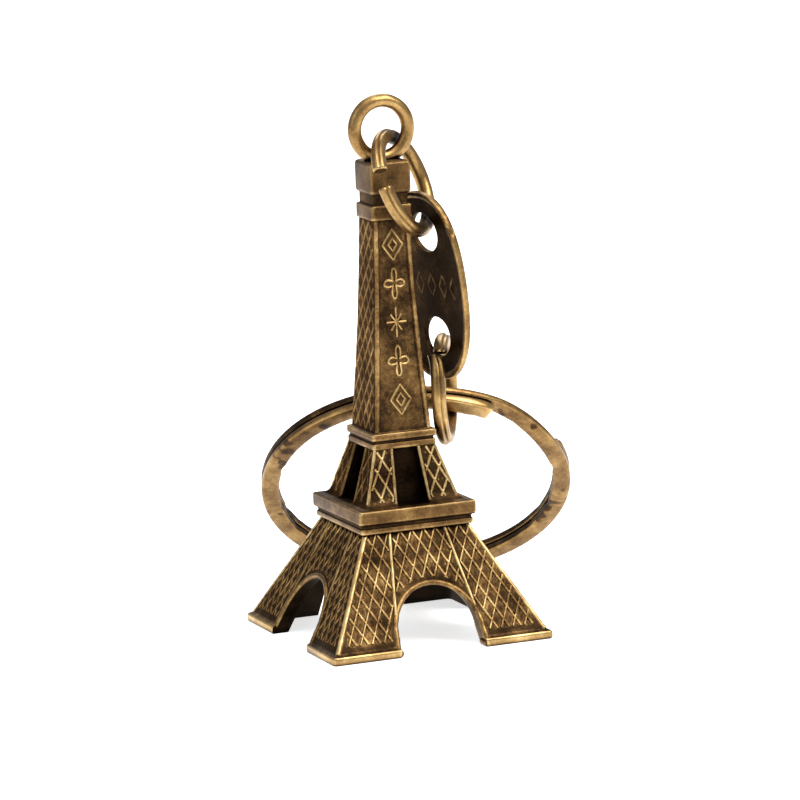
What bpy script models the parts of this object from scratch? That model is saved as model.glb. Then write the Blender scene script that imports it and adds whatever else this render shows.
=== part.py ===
"""Souvenir figurine: a cast brass lattice tower on four feet, with a key ring hung from its eye.

The tower's axis is parallel to Z and its feet stand on Z = 0. The origin is under the middle of the
whole object, chain included. The face with the raised ornaments looks along -Y.
The chain runs eye, upper jump ring, oval tag, lower jump ring, split key ring, and is modelled as it
lies when the tower stands on a table: the key ring leans behind the tower, its low side on the table.
"""

from math import cos, pi, radians, sin

import bmesh
import bpy
from mathutils import Matrix, Vector

MM = 0.001

# The tower's axis. Every other place below is measured from it, in millimetres.
TOWER_AT = Vector((-5.69, -6.70, 0))

# Tower: heights and half widths of its square section, from the feet up.
FOOT_HALF = 11.39
FOOT_THICK = 0.75
LEG_HALF_LOW, LEG_HALF_HIGH, LEG_TOP = 10.95, 5.60, 10.55
SLAB_LOW_HALF, SLAB_GROOVE_HALF, SLAB_HALF = 5.81, 5.60, 6.05
SLAB_LOW_TOP, SLAB_GROOVE_TOP, SLAB_TOP = 11.50, 11.90, 13.23
TIER_HALF_LOW, TIER_HALF_HIGH, TIER_TOP = 4.84, 3.20, 18.50
COLLAR_LOW_HALF, COLLAR_GROOVE_HALF, COLLAR_HALF = 3.26, 3.10, 3.33
COLLAR_LOW_TOP, COLLAR_GROOVE_TOP, COLLAR_TOP = 19.10, 19.35, 20.05
SHAFT_HALF_LOW, SHAFT_HALF_HIGH, SHAFT_TOP = 2.94, 1.87, 40.40
TOP_COLLAR_HALF, TOP_COLLAR_TOP = 2.06, 41.80
NECK_HALF, NECK_TOP = 1.80, 42.90
CAP_HALF, CAP_TOP, CAP_BEVEL = 2.06, 46.00, 0.14

# Hollows of the tower.
WALL = 1.25
CAVITY_TOP = 10.10
ARCH_HALF, ARCH_RADIUS, ARCH_SPRING = 4.45, 4.25, 1.75
RECESS_LOW_HALF, RECESS_HIGH_HALF = 1.67, 1.28
RECESS_LOW_DEPTH, RECESS_HIGH_DEPTH = 1.50, 1.00
PANEL_BORDER, PANEL_DEPTH = 0.50, 0.18
PANEL_LOW, PANEL_HIGH = 20.90, 39.90

# Eye at the top, a round wire loop in the XZ plane.
EYE_RADIUS, EYE_WIRE = 2.78, 0.64
EYE_CENTRE = Vector((0, 0, 48.90))

# Jump rings: mean radius, wire radius, and the gap where the wire's ends meet.
JUMP_RADIUS, JUMP_WIRE = 4.75, 0.68
UPPER_CENTRE, UPPER_FACING = Vector((1.68, -1.07, 43.69)), (46.9, 21.1)
UPPER_GAP_AT, UPPER_GAP = 166.5, 20
LOWER_CENTRE, LOWER_FACING = Vector((6.05, 0.81, 22.97)), (60, 1)
LOWER_GAP_AT, LOWER_GAP = 120, 7

# Tag: a shallow oval dish, its hollow side towards the tower.
TAG_HALF_HIGH, TAG_HALF_WIDE, TAG_POWER = 9.30, 5.60, 2.34
TAG_THICK, TAG_DISH, TAG_DISH_POWER = 0.55, 0.60, 3
TAG_HOLE_RADIUS, TAG_HOLE_OFFSET = 1.95, 5.20
TAG_CENTRE, TAG_FACING = Vector((4.56, -0.42, 33.52)), (-75, -6.8)

# Split key ring: two flat coils of one wire, joined by a step.
KEY_OUTER, KEY_INNER = 15.37, 13.61
KEY_COIL_THICK, KEY_COIL_GAP, KEY_CORNER = 0.76, 0.12, 0.24
KEY_CENTRE, KEY_FACING = Vector((7.60, 12.42, 10.93)), (-22.0, -44.0)
KEY_END_AT, KEY_STEP = 60, 38
KEY_HELD_AT = 77.5

# Middle of the upper jump ring's wire where the tag hangs from it.
UPPER_HOLDS_TAG = Vector((3.77, -1.25, 39.43))


def facing(azimuth, elevation):
    """Rotation that turns +Z to a heading: azimuth 0 is -Y, and +90 is +X."""
    turn, rise = radians(azimuth), radians(elevation)
    normal = Vector((sin(turn) * cos(rise), -cos(turn) * cos(rise), sin(rise)))
    across = Vector((0, 0, 1)).cross(normal).normalized()
    return Matrix((across, normal.cross(across), normal)).transposed().to_4x4()


def metal(name, colour, roughness):
    material = bpy.data.materials.new(name)
    material.use_nodes = True
    shader = material.node_tree.nodes["Principled BSDF"]
    shader.inputs["Base Color"].default_value = (*colour, 1)
    shader.inputs["Metallic"].default_value = 1
    shader.inputs["Roughness"].default_value = roughness
    return material


def object_from(name, bm, parent, helper=False):
    """Turns a bmesh in millimetres into an object in metres, placed under its parent."""
    bmesh.ops.recalc_face_normals(bm, faces=bm.faces)
    bmesh.ops.scale(bm, vec=(MM, MM, MM), verts=bm.verts)
    mesh = bpy.data.meshes.new(name)
    bm.to_mesh(mesh)
    bm.free()
    obj = bpy.data.objects.new(name, mesh)
    bpy.context.collection.objects.link(obj)
    obj.parent = parent
    if helper:
        obj.hide_render = True
        obj.display_type = "WIRE"
    return obj


def boolean(obj, tool, operation="DIFFERENCE"):
    modifier = obj.modifiers.new(tool.name, "BOOLEAN")
    modifier.operation = operation
    modifier.object = tool


def skin(bm, loops, closed=False):
    """Joins loops of vertices with quads, and closes the two ends unless the loops run round."""
    for i in range(len(loops) - (not closed)):
        low, high = loops[i], loops[(i + 1) % len(loops)]
        for j in range(len(low)):
            k = (j + 1) % len(low)
            bm.faces.new((low[j], low[k], high[k], high[j]))
    if not closed:
        bm.faces.new(loops[0])
        bm.faces.new(loops[-1])


def square_loft(bm, levels):
    corners = ((-1, -1), (1, -1), (1, 1), (-1, 1))
    skin(bm, [[bm.verts.new((x * half, y * half, z)) for x, y in corners] for z, half in levels])


def tower_levels():
    return [
        (0, FOOT_HALF),
        (FOOT_THICK, FOOT_HALF - 0.08),
        (FOOT_THICK + 0.05, LEG_HALF_LOW),
        (LEG_TOP, LEG_HALF_HIGH),
        (LEG_TOP + 0.02, SLAB_LOW_HALF),
        (SLAB_LOW_TOP, SLAB_LOW_HALF),
        (SLAB_LOW_TOP + 0.05, SLAB_GROOVE_HALF),
        (SLAB_GROOVE_TOP, SLAB_GROOVE_HALF),
        (SLAB_GROOVE_TOP + 0.05, SLAB_HALF),
        (SLAB_TOP, SLAB_HALF),
        (SLAB_TOP + 0.01, TIER_HALF_LOW),
        (TIER_TOP, TIER_HALF_HIGH),
        (TIER_TOP + 0.02, COLLAR_LOW_HALF),
        (COLLAR_LOW_TOP, COLLAR_LOW_HALF),
        (COLLAR_LOW_TOP + 0.05, COLLAR_GROOVE_HALF),
        (COLLAR_GROOVE_TOP, COLLAR_GROOVE_HALF),
        (COLLAR_GROOVE_TOP + 0.05, COLLAR_HALF),
        (COLLAR_TOP, COLLAR_HALF),
        (COLLAR_TOP + 0.02, SHAFT_HALF_LOW),
        (SHAFT_TOP, SHAFT_HALF_HIGH),
        (SHAFT_TOP + 0.02, TOP_COLLAR_HALF),
        (TOP_COLLAR_TOP, TOP_COLLAR_HALF),
        (TOP_COLLAR_TOP + 0.05, NECK_HALF),
        (NECK_TOP, NECK_HALF),
        (NECK_TOP + 0.05, CAP_HALF - CAP_BEVEL),
        (NECK_TOP + CAP_BEVEL, CAP_HALF),
        (CAP_TOP - CAP_BEVEL, CAP_HALF),
        (CAP_TOP, CAP_HALF - CAP_BEVEL),
    ]


def cavity(stand):
    """The hollow of the base, open below and parallel to the legs' outer faces."""
    slope = (LEG_HALF_LOW - LEG_HALF_HIGH) / LEG_TOP
    below = -2
    bm = bmesh.new()
    square_loft(
        bm,
        [
            (below, LEG_HALF_LOW - WALL - slope * below),
            (CAVITY_TOP, LEG_HALF_LOW - WALL - slope * CAVITY_TOP),
        ],
    )
    return object_from("cavity_cutter", bm, stand, helper=True)


def arch(name, turn, stand):
    """An arched prism right through the base; the jambs widen a little towards the floor."""
    steps = 20
    outline = [(-ARCH_HALF - 0.1, -2), (ARCH_HALF + 0.1, -2), (ARCH_HALF, 0)]
    outline += [
        (ARCH_RADIUS * cos(pi * i / steps), ARCH_SPRING + ARCH_RADIUS * sin(pi * i / steps))
        for i in range(steps + 1)
    ]
    outline.append((-ARCH_HALF, 0))
    bm = bmesh.new()
    reach = FOOT_HALF + 2
    skin(bm, [[bm.verts.new((x, y, z)) for x, z in outline] for y in (-reach, reach)])
    bmesh.ops.rotate(bm, verts=bm.verts, matrix=Matrix.Rotation(turn, 3, "Z"))
    return object_from(name, bm, stand, helper=True)


def side_cutters(name, low, high, stand):
    """Four sunk panels, one in each face. low and high are (z, panel half width, face half width, depth)."""
    bm = bmesh.new()
    for quarter in range(4):
        loops = []
        for z, half, face, depth in (low, high):
            plan = ((-half, -face - 2), (half, -face - 2), (half, depth - face), (-half, depth - face))
            loops.append([bm.verts.new((x, y, z)) for x, y in plan])
        skin(bm, loops)
        turned = [vert for loop in loops for vert in loop]
        bmesh.ops.rotate(bm, verts=turned, matrix=Matrix.Rotation(quarter * pi / 2, 3, "Z"))
    return object_from(name, bm, stand, helper=True)


def shaft_half(z):
    part = (z - COLLAR_TOP) / (SHAFT_TOP - COLLAR_TOP)
    return SHAFT_HALF_LOW + part * (SHAFT_HALF_HIGH - SHAFT_HALF_LOW)


def wire_loop(radius, wire, sides, steps, gap_at=0, gap=0):
    """A round wire bent round Z, open over `gap` degrees about `gap_at`; a gap of 0 closes it."""
    start = radians(gap_at + gap / 2)
    sweep = radians(360 - gap)
    count = steps if gap == 0 else steps + 1
    bm = bmesh.new()
    loops = []
    for i in range(count):
        angle = start + sweep * i / steps
        out = Vector((cos(angle), sin(angle), 0))
        ring = []
        for j in range(sides):
            turn = 2 * pi * j / sides
            spot = out * (radius + wire * cos(turn)) + Vector((0, 0, wire * sin(turn)))
            ring.append(bm.verts.new(spot))
        loops.append(ring)
    skin(bm, loops, closed=gap == 0)
    return bm


def make_tower(brass, stand):
    bm = bmesh.new()
    square_loft(bm, tower_levels())
    tower = object_from("tower", bm, stand)
    boolean(tower, cavity(stand))
    boolean(tower, arch("arch_cutter_front", 0, stand))
    boolean(tower, arch("arch_cutter_side", pi / 2, stand))
    tier = side_cutters(
        "tier_cutter",
        (SLAB_TOP + 0.03, RECESS_LOW_HALF, TIER_HALF_LOW, RECESS_LOW_DEPTH),
        (TIER_TOP, RECESS_HIGH_HALF, TIER_HALF_HIGH, RECESS_HIGH_DEPTH),
        stand,
    )
    boolean(tower, tier)
    low, high = shaft_half(PANEL_LOW), shaft_half(PANEL_HIGH)
    panels = side_cutters(
        "panel_cutter",
        (PANEL_LOW, low - PANEL_BORDER, low, PANEL_DEPTH),
        (PANEL_HIGH, high - PANEL_BORDER, high, PANEL_DEPTH),
        stand,
    )
    boolean(tower, panels)
    bm = wire_loop(EYE_RADIUS, EYE_WIRE, 12, 40)
    bmesh.ops.rotate(bm, verts=bm.verts, matrix=Matrix.Rotation(pi / 2, 3, "X"))
    bmesh.ops.translate(bm, verts=bm.verts, vec=EYE_CENTRE)
    boolean(tower, object_from("eye_loop", bm, stand, helper=True), "UNION")
    tower.data.materials.append(brass)


def tag_outline(turn, scale=1.0):
    """A point of the tag's oval, a softly squared ellipse."""
    along, across = sin(turn), cos(turn)
    grow = 2 / TAG_POWER
    x = TAG_HALF_WIDE * scale * abs(across) ** grow * (1 if across >= 0 else -1)
    y = TAG_HALF_HIGH * scale * abs(along) ** grow * (1 if along >= 0 else -1)
    return x, y


def tag_mesh():
    """The dished plate: X across it, Y up it, and Z out of its hollow side."""
    rings = (0.35, 0.6, 0.8, 0.92, 1.0)
    around = 44
    bm = bmesh.new()
    sheets = []
    for side in (0, -TAG_THICK):
        centre = bm.verts.new((0, 0, side))
        sheet = []
        for scale in rings:
            rise = side + TAG_DISH * scale**TAG_DISH_POWER
            points = [tag_outline(2 * pi * (i + 0.5) / around, scale) for i in range(around)]
            sheet.append([bm.verts.new((x, y, rise)) for x, y in points])
        for i in range(around):
            j = (i + 1) % around
            bm.faces.new((centre, sheet[0][i], sheet[0][j]))
            for inner, outer in zip(sheet, sheet[1:]):
                bm.faces.new((inner[i], outer[i], outer[j], inner[j]))
        sheets.append(sheet[-1])
    for i in range(around):
        j = (i + 1) % around
        bm.faces.new((sheets[0][i], sheets[0][j], sheets[1][j], sheets[1][i]))
    return bm


def tag_holes(joint):
    sides = 28
    bm = bmesh.new()
    for end in (-1, 1):
        loops = []
        for z in (-3, 3):
            turns = [2 * pi * i / sides for i in range(sides)]
            points = [(TAG_HOLE_RADIUS * cos(t), TAG_HOLE_RADIUS * sin(t)) for t in turns]
            loops.append([bm.verts.new((x, y + end * TAG_HOLE_OFFSET, z)) for x, y in points])
        skin(bm, loops)
    cutter = object_from("tag_hole_cutter", bm, joint["empty"], helper=True)
    place(cutter, TAG_CENTRE, TAG_FACING, joint)
    return cutter


def make_tag(brass, joint):
    tag = object_from("tag_plate", tag_mesh(), joint["empty"])
    place(tag, TAG_CENTRE, TAG_FACING, joint)
    boolean(tag, tag_holes(joint))
    tag.data.materials.append(brass)
    smooth(tag)


def coil_level(turned):
    """Axial place of the key ring's wire after `turned` degrees: one coil, an S-shaped step, the other."""
    apart = KEY_COIL_THICK + KEY_COIL_GAP
    part = (turned - (360 - KEY_STEP)) / KEY_STEP
    part = min(max(part, 0), 1)
    return apart * part * part * (3 - 2 * part)


def key_ring_mesh():
    """The wire's flat section with cut corners, swept round nearly twice."""
    half_radial, half_axial = (KEY_OUTER - KEY_INNER) / 2, KEY_COIL_THICK / 2
    middle = (KEY_OUTER + KEY_INNER) / 2
    section = []
    for x, y in ((1, 1), (-1, 1), (-1, -1), (1, -1)):
        ends = [
            (x * half_radial, y * (half_axial - KEY_CORNER)),
            (x * (half_radial - KEY_CORNER), y * half_axial),
        ]
        section += ends if x == y else ends[::-1]
    total = 2 * 360 - KEY_STEP
    steps = round(total / 5)
    bm = bmesh.new()
    loops = []
    for i in range(steps + 1):
        turned = total * i / steps
        angle = radians(KEY_END_AT + turned)
        level = -half_axial - coil_level(turned)
        loops.append(
            [
                bm.verts.new(((middle + x) * cos(angle), (middle + x) * sin(angle), level + y))
                for x, y in section
            ]
        )
    skin(bm, loops)
    return bm


def hinge(name, where, parent):
    """An empty on a joint's axis; what hangs from it turns with it."""
    empty = bpy.data.objects.new(name, None)
    empty.empty_display_size = 2 * MM
    bpy.context.collection.objects.link(empty)
    empty.location = (where - parent["at"]) * MM
    empty.parent = parent["empty"]
    return {"empty": empty, "at": where}


def place(obj, centre, heading, joint):
    """Puts an object's centre and heading under the joint that moves it."""
    obj.matrix_local = Matrix.Translation((centre - joint["at"]) * MM) @ facing(*heading)


def key_held_point():
    """Middle of the key ring's wire where the lower jump ring goes round it."""
    middle = (KEY_OUTER + KEY_INNER) / 2
    depth = KEY_COIL_THICK + KEY_COIL_GAP / 2
    angle = radians(KEY_HELD_AT)
    local = Vector((middle * cos(angle), middle * sin(angle), -depth))
    return KEY_CENTRE + facing(*KEY_FACING).to_3x3() @ local


def smooth(obj):
    obj.data.shade_smooth()
    obj.data.set_sharp_from_angle(angle=radians(35))


def make_ring(name, bm, centre, heading, joint, brass):
    ring = object_from(name, bm, joint["empty"])
    place(ring, centre, heading, joint)
    ring.data.materials.append(brass)
    smooth(ring)


def jump_ring(gap_at, gap):
    return wire_loop(JUMP_RADIUS, JUMP_WIRE, 10, 40, gap_at, gap)


def main():
    for obj in list(bpy.data.objects):
        bpy.data.objects.remove(obj, do_unlink=True)
    antique = metal("antique_brass", (0.26, 0.17, 0.08), 0.45)
    plate = metal("tag_brass", (0.22, 0.13, 0.06), 0.42)
    bright = metal("worn_brass", (0.46, 0.32, 0.14), 0.35)

    floor = {"empty": None, "at": -TOWER_AT}
    stand = hinge("stand", Vector(), floor)
    on_eye = hinge("upper_ring_hinge", EYE_CENTRE, stand)
    on_upper = hinge("tag_hinge", UPPER_HOLDS_TAG, on_eye)
    on_tag = hinge("lower_ring_hinge", LOWER_CENTRE, on_upper)
    on_lower = hinge("key_ring_hinge", key_held_point(), on_tag)

    make_tower(antique, stand["empty"])
    upper = jump_ring(UPPER_GAP_AT, UPPER_GAP)
    make_ring("upper_jump_ring", upper, UPPER_CENTRE, UPPER_FACING, on_eye, bright)
    make_tag(plate, on_upper)
    lower = jump_ring(LOWER_GAP_AT, LOWER_GAP)
    make_ring("lower_jump_ring", lower, LOWER_CENTRE, LOWER_FACING, on_tag, bright)
    make_ring("key_ring", key_ring_mesh(), KEY_CENTRE, KEY_FACING, on_lower, bright)


main()
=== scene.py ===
"""Looks of the souvenir tower: a cast lattice tower in worn antique brass with a key ring on its eye.

Lengths are in millimetres and measured from the tower's axis, unless a name says otherwise; the
pieces are turned into metres and put in the shared frame where they are made.
"""

from math import atan2, cos, hypot, pi, radians, sin, sqrt
from random import Random

import bmesh
import bpy
from mathutils import Matrix, Vector, noise


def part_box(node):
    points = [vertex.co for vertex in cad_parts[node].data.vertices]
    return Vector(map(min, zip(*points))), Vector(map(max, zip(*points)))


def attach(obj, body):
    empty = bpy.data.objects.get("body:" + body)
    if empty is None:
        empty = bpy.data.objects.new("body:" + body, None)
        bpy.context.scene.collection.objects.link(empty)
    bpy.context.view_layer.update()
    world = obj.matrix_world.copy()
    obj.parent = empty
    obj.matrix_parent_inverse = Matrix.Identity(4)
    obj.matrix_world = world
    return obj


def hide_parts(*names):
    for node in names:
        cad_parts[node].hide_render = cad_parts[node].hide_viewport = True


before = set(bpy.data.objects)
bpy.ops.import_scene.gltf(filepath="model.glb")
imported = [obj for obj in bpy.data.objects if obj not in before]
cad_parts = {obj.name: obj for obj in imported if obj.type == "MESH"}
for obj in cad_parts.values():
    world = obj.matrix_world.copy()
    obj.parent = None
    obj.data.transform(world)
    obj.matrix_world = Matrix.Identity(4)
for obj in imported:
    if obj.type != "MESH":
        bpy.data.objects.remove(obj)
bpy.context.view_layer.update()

MM = 0.001
tower_low, tower_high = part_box("tower")
TOWER_AT = Vector(((tower_low.x + tower_high.x) / 2, (tower_low.y + tower_high.y) / 2, 0))

# Tower: heights and half widths of its square section.
FOOT_HALF = (tower_high.x - tower_low.x) / 2 / MM
FOOT_THICK = 0.75
LEG_HALF_LOW, LEG_HALF_HIGH = 10.95, 5.41
LEG_LOW, LEG_TOP = 0.80, 10.90
SLAB_LOW_HALF, SLAB_GROOVE_HALF, SLAB_HALF = 5.81, 5.70, 6.05
SLAB_LOW_TOP, SLAB_GROOVE_TOP, SLAB_TOP = 11.50, 11.90, 13.23
TIER_HALF_LOW, TIER_HALF_HIGH, TIER_TOP = 4.84, 3.20, 18.50
COLLAR_LOW_HALF, COLLAR_GROOVE_HALF, COLLAR_HALF = 3.26, 3.12, 3.33
COLLAR_LOW_TOP, COLLAR_GROOVE_TOP, COLLAR_TOP = 19.06, 19.38, 20.05
SHAFT_HALF_LOW, SHAFT_HALF_HIGH, SHAFT_TOP = 2.94, 1.87, 40.40
SHAFT_WAIST = 0.13
TOP_COLLAR_HALF, TOP_COLLAR_TOP = 2.06, 41.80
NECK_HALF, NECK_TOP = 1.80, 42.90
CAP_HALF, CAP_TOP = 2.06, 46.00
WALL, CAVITY_TOP = 1.25, 10.10
ARCH_HALF, ARCH_RADIUS, ARCH_SPRING = 4.45, 4.25, 1.75
RECESS_LOW_HALF, RECESS_HIGH_HALF = 1.67, 1.28
RECESS_LOW_DEPTH, RECESS_HIGH_DEPTH = 1.50, 1.00
RECESS_RIM = 0.12
PANEL_BORDER, PANEL_DEPTH = 0.50, 0.18
PANEL_LOW, PANEL_HIGH = 20.16, 40.30

# Raised work on the faces: (width, height) of each bead.
CORNER_BEAD = (0.46, 0.15)
RIM_BEAD = (0.54, 0.17)
DIVIDER_BEAD = (0.38, 0.18)
TIER_BEAD = (0.32, 0.16)
LATTICE_BEAD = (0.30, 0.17)
SHADOW_BEAD = (0.15, 0.06)
SIDE_BEAD = (0.18, 0.12)
SOFT_BEAD = (0.24, 0.05)
ORNAMENT_BEAD = (0.26, 0.17)
BORDER_BEAD = (0.40, 0.07)
MARK_BEAD = (0.16, 0.03)
LATTICE_PITCH, LATTICE_LEAN, LATTICE_LOW = 1.215, 0.56, 1.39
SIDE_PITCH = 0.90
TIER_PITCH, TIER_LEAN = 1.28, 0.54
SHAFT_PITCH, SHAFT_LEAN = 1.30, 0.65
DIVIDER_HIGH, DIVIDER_LOW, DIVIDER_END = 2.84, 4.10, 3.70

# The lowest place of a base face that has lattice, and how far the lattices keep from the corners,
# dividers and recesses beside them.
LEG_FLOOR = 1.50
LEG_EDGE, DIVIDER_CLEAR = 0.36, 0.20
TIER_EDGE, RECESS_CLEAR = 0.28, 0.30

# Eye, jump rings, tag and key ring.
EYE_RADIUS, EYE_WIRE = 2.74, 0.67
EYE_CENTRE = Vector((0, 0, 48.90))
JUMP_RADIUS, JUMP_WIRE = 4.75, 0.72
UPPER_CENTRE, UPPER_FACING = Vector((1.68, -1.07, 43.69)), (46.9, 21.1)
UPPER_GAP_AT, UPPER_GAP = 166.5, 20
LOWER_CENTRE, LOWER_FACING = Vector((6.05, 0.81, 22.97)), (60, 1)
LOWER_GAP_AT, LOWER_GAP = 124, 4
LOWER_SPLAY, LOWER_SLANT = 0.50, 0.8
WIRE_CREASE_AT, WIRE_CREASE_WIDE, WIRE_CREASE = 30, 13, 0.15
WIRE_WANDER, SLANT_REACH, SPLAY_POWER = 0.02, 1.6, 12
NIP_LONG, NIP_BEND, NIP_TIP, NIP_NEAR = 0.18, 0.35, 0.84, 0.95
TAG_HALF_HIGH, TAG_HALF_WIDE, TAG_POWER = 9.30, 5.60, 2.34
TAG_THICK, TAG_DISH, TAG_DISH_POWER = 0.55, 0.60, 3
TAG_HOLE_RADIUS, TAG_HOLE_OFFSET = 1.98, 5.20
TAG_CENTRE, TAG_FACING = Vector((4.56, -0.42, 33.52)), (-75, -6.8)
TAG_DING_AT, TAG_DING_WIDE, TAG_DING_DEEP = 36, 4.0, 0.30
KEY_OUTER, KEY_INNER = 15.37, 13.61
KEY_COIL_THICK, KEY_COIL_GAP, KEY_CORNER = 0.76, 0.12, 0.27
KEY_CENTRE, KEY_FACING = Vector((7.60, 12.42, 10.93)), (-22.0, -44.0)
KEY_END_AT, KEY_STEP = 60, 38
KEY_END_FLARE, KEY_FLARE_OVER = 0.26, 34
KEY_DENT, KEY_DENT_LONG, KEY_DENT_FROM = 0.46, 9, 0.12

# Sides of the key ring's section that face its axis and away from it. Both get painted shade, the outer
# ones only over KEY_SHADED, in degrees along the wire.
KEY_INNER_SIDE, KEY_OUTER_SIDE = (6, 7, 8), (0, 1, 2, 14, 15)
KEY_SHADED = (395, 475)


# ---------------------------------------------------------------- materials


class Nodes:
    """Adds shader nodes to a material and links them."""

    def __init__(self, name):
        self.material = bpy.data.materials.new(name)
        self.material.use_nodes = True
        self.tree = self.material.node_tree
        self.shader = self.tree.nodes["Principled BSDF"]

    def add(self, kind, settings=None, **inputs):
        node = self.tree.nodes.new("ShaderNode" + kind)
        for key, value in (settings or {}).items():
            setattr(node, key, value)
        for key, value in inputs.items():
            self.join(value, node.inputs[key.replace("_", " ")])
        return node

    def join(self, value, socket):
        if isinstance(value, bpy.types.NodeSocket):
            self.tree.links.new(value, socket)
        else:
            socket.default_value = value

    def maths(self, operation, *values):
        node = self.tree.nodes.new("ShaderNodeMath")
        node.operation = operation
        for value, socket in zip(values, node.inputs):
            self.join(value, socket)
        return node.outputs[0]

    def ramp(self, value, low, high, to_low=0.0, to_high=1.0):
        node = self.add("MapRange", {"interpolation_type": "SMOOTHSTEP"})
        for socket, given in zip(node.inputs, (value, low, high, to_low, to_high)):
            self.join(given, socket)
        return node.outputs[0]

    def noise(self, at, scale, detail=4.0, rough=0.55):
        node = self.add("TexNoise", Vector=at, Scale=scale, Detail=detail, Roughness=rough)
        return node.outputs["Fac"]


# Colour of the metal from deepest patina to rubbed edge: (wear, linear colour).
BRASS = (
    (0.00, (0.004, 0.0024, 0.0014)),
    (0.28, (0.038, 0.021, 0.0095)),
    (0.50, (0.150, 0.083, 0.030)),
    (0.72, (0.380, 0.238, 0.090)),
    (1.00, (0.800, 0.580, 0.270)),
)
BROWN_RIM = (0.88, 0.80, 0.73)
DEEP_RIM = (0.72, 0.61, 0.53)


def brass(
    name, wear, patches, edge, patina_and_shade, roughness=(0.55, 0.30), reach=0.7, rim=(1.0, 1.0, 1.0), stains=0.0
):
    """Worn antique brass.

    wear is how rubbed the open surface is and patches how much that varies; edges are brighter by `edge`,
    rubbed brass with a painted highlight, and hollows darker by `patina_and_shade`, patina with painted
    shade, up to
    `reach` mm from what shelters them. rim is the tint of the metal seen at a grazing angle, and stains is
    how dark its scattered spots are.
    """
    n = Nodes(name)
    at = n.add("TexCoord").outputs["Object"]
    broad = n.noise(at, 420.0, 3.0)
    fine = n.noise(at, 2600.0, 5.0, 0.62)
    speckle = n.noise(at, 9500.0, 2.0)
    bevel = n.add("Bevel", {"samples": 6}, Radius=0.14 * MM).outputs[0]
    # Brighter near edges: rubbed brass, and a painted edge highlight.
    within = n.add("AmbientOcclusion", {"samples": 6, "inside": True}, Distance=0.36 * MM).outputs["AO"]
    rubbed = n.ramp(within, 0.92, 0.52)
    # Darker in hollows: patina, and painted shade.
    open_air = n.add("AmbientOcclusion", {"samples": 8}, Distance=reach * MM).outputs["AO"]
    hollow = n.ramp(open_air, 0.95, 0.35)
    value = n.maths("MULTIPLY_ADD", n.maths("SUBTRACT", broad, 0.5), patches * 2, wear)
    value = n.maths("MULTIPLY_ADD", n.maths("SUBTRACT", fine, 0.5), patches * 1.1, value)
    value = n.maths("MULTIPLY_ADD", n.maths("SUBTRACT", speckle, 0.5), patches * 0.9, value)
    value = n.maths("MULTIPLY_ADD", rubbed, edge, value)
    value = n.maths("MULTIPLY_ADD", hollow, -patina_and_shade, value)
    if stains:
        spots = n.ramp(n.noise(at, 560.0, 1.0), 0.62, 0.72)
        value = n.maths("MULTIPLY_ADD", spots, -stains, value)
    stops = n.add("ValToRGB", Fac=value)
    ends = stops.color_ramp.elements
    for place, colour in BRASS[1:-1]:
        ends.new(place)
    for element, (place, colour) in zip(ends, BRASS):
        element.position = place
        element.color = (*colour, 1)
    n.join(stops.outputs["Color"], n.shader.inputs["Base Color"])
    n.shader.inputs["Metallic"].default_value = 1.0
    n.shader.inputs["Specular Tint"].default_value = (*rim, 1)
    grain = n.maths("MULTIPLY_ADD", fine, 0.10, -0.05)
    rough = n.maths("ADD", n.ramp(value, 0.1, 0.95, *roughness), grain)
    n.join(rough, n.shader.inputs["Roughness"])
    height = n.maths("MULTIPLY_ADD", broad, 0.6, n.maths("MULTIPLY", fine, 0.4))
    bump = n.add("Bump", Strength=0.35, Distance=0.035 * MM, Height=height, Normal=bevel)
    n.join(bump.outputs[0], n.shader.inputs["Normal"])
    return n.material


# ---------------------------------------------------------------- mesh helpers


def facing(azimuth, elevation):
    """Rotation that turns +Z to a heading: azimuth 0 is -Y, and +90 is +X."""
    turn, rise = radians(azimuth), radians(elevation)
    normal = Vector((sin(turn) * cos(rise), -cos(turn) * cos(rise), sin(rise)))
    across = Vector((0, 0, 1)).cross(normal).normalized()
    return Matrix((across, normal.cross(across), normal)).transposed().to_4x4()


# Edges that bend by more than this, in degrees, are shaded sharp.
SHARP_OVER, TAG_SHARP_OVER = 38, 40


def object_from(name, bm, materials=(), place=None):
    """Turns a bmesh in millimetres into an object in metres in the shared frame."""
    bmesh.ops.recalc_face_normals(bm, faces=bm.faces)
    if place is not None:
        bmesh.ops.transform(bm, matrix=place, verts=bm.verts)
    bmesh.ops.scale(bm, vec=(MM, MM, MM), verts=bm.verts)
    bmesh.ops.translate(bm, vec=TOWER_AT, verts=bm.verts)
    mesh = bpy.data.meshes.new(name)
    bm.to_mesh(mesh)
    bm.free()
    for material in materials:
        mesh.materials.append(material)
    mesh.shade_smooth()
    mesh.set_sharp_from_angle(angle=radians(SHARP_OVER))
    obj = bpy.data.objects.new(name, mesh)
    bpy.context.collection.objects.link(obj)
    return obj


def cut(obj, *tools):
    """Cuts the tools out of an object and removes them."""
    for tool in tools:
        modifier = obj.modifiers.new(tool.name, "BOOLEAN")
        modifier.operation = "DIFFERENCE"
        modifier.object = tool
        modifier.solver = "EXACT"
    settle(obj)
    for tool in tools:
        bpy.data.objects.remove(tool, do_unlink=True)


def settle(obj):
    """Applies an object's modifiers."""
    graph = bpy.context.evaluated_depsgraph_get()
    mesh = bpy.data.meshes.new_from_object(obj.evaluated_get(graph))
    old = obj.data
    obj.modifiers.clear()
    obj.data = mesh
    bpy.data.meshes.remove(old)


def skin(bm, loops, closed=False, slot=0):
    """Joins loops of vertices with quads, and closes the two ends unless the loops run round."""
    made = []
    for i in range(len(loops) - (not closed)):
        low, high = loops[i], loops[(i + 1) % len(loops)]
        for j in range(len(low)):
            k = (j + 1) % len(low)
            made.append(bm.faces.new((low[j], low[k], high[k], high[j])))
    if not closed:
        made.append(bm.faces.new(loops[0][::-1]))
        made.append(bm.faces.new(loops[-1]))
    for face in made:
        face.material_index = slot


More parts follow.
